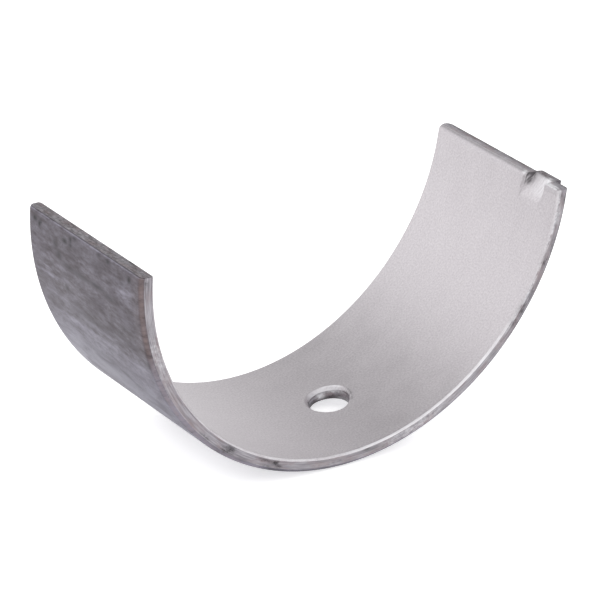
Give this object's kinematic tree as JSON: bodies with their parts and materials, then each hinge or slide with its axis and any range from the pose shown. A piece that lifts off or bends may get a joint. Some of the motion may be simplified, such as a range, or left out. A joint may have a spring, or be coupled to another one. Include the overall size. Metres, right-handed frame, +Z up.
{
  "type": "engine bearing shell",
  "caption": "Half bearing shell for a connecting rod's big end, steel back and grey lined bore, with a countersunk oil hole and a locating tang.",
  "frame": {"origin": "on the bearing axis, midway along the shell's width", "axes": "+Y along the bearing axis, +X across the joint faces towards the tang, +Z up from the crown to the open side"},
  "size_m": [0.0524, 0.0196, 0.0253],
  "materials": {
    "lined_steel_strip": "satin"
  },
  "bodies": {
    "root": {"bearing_shell": "lined_steel_strip"}
  },
  "joints": []
}
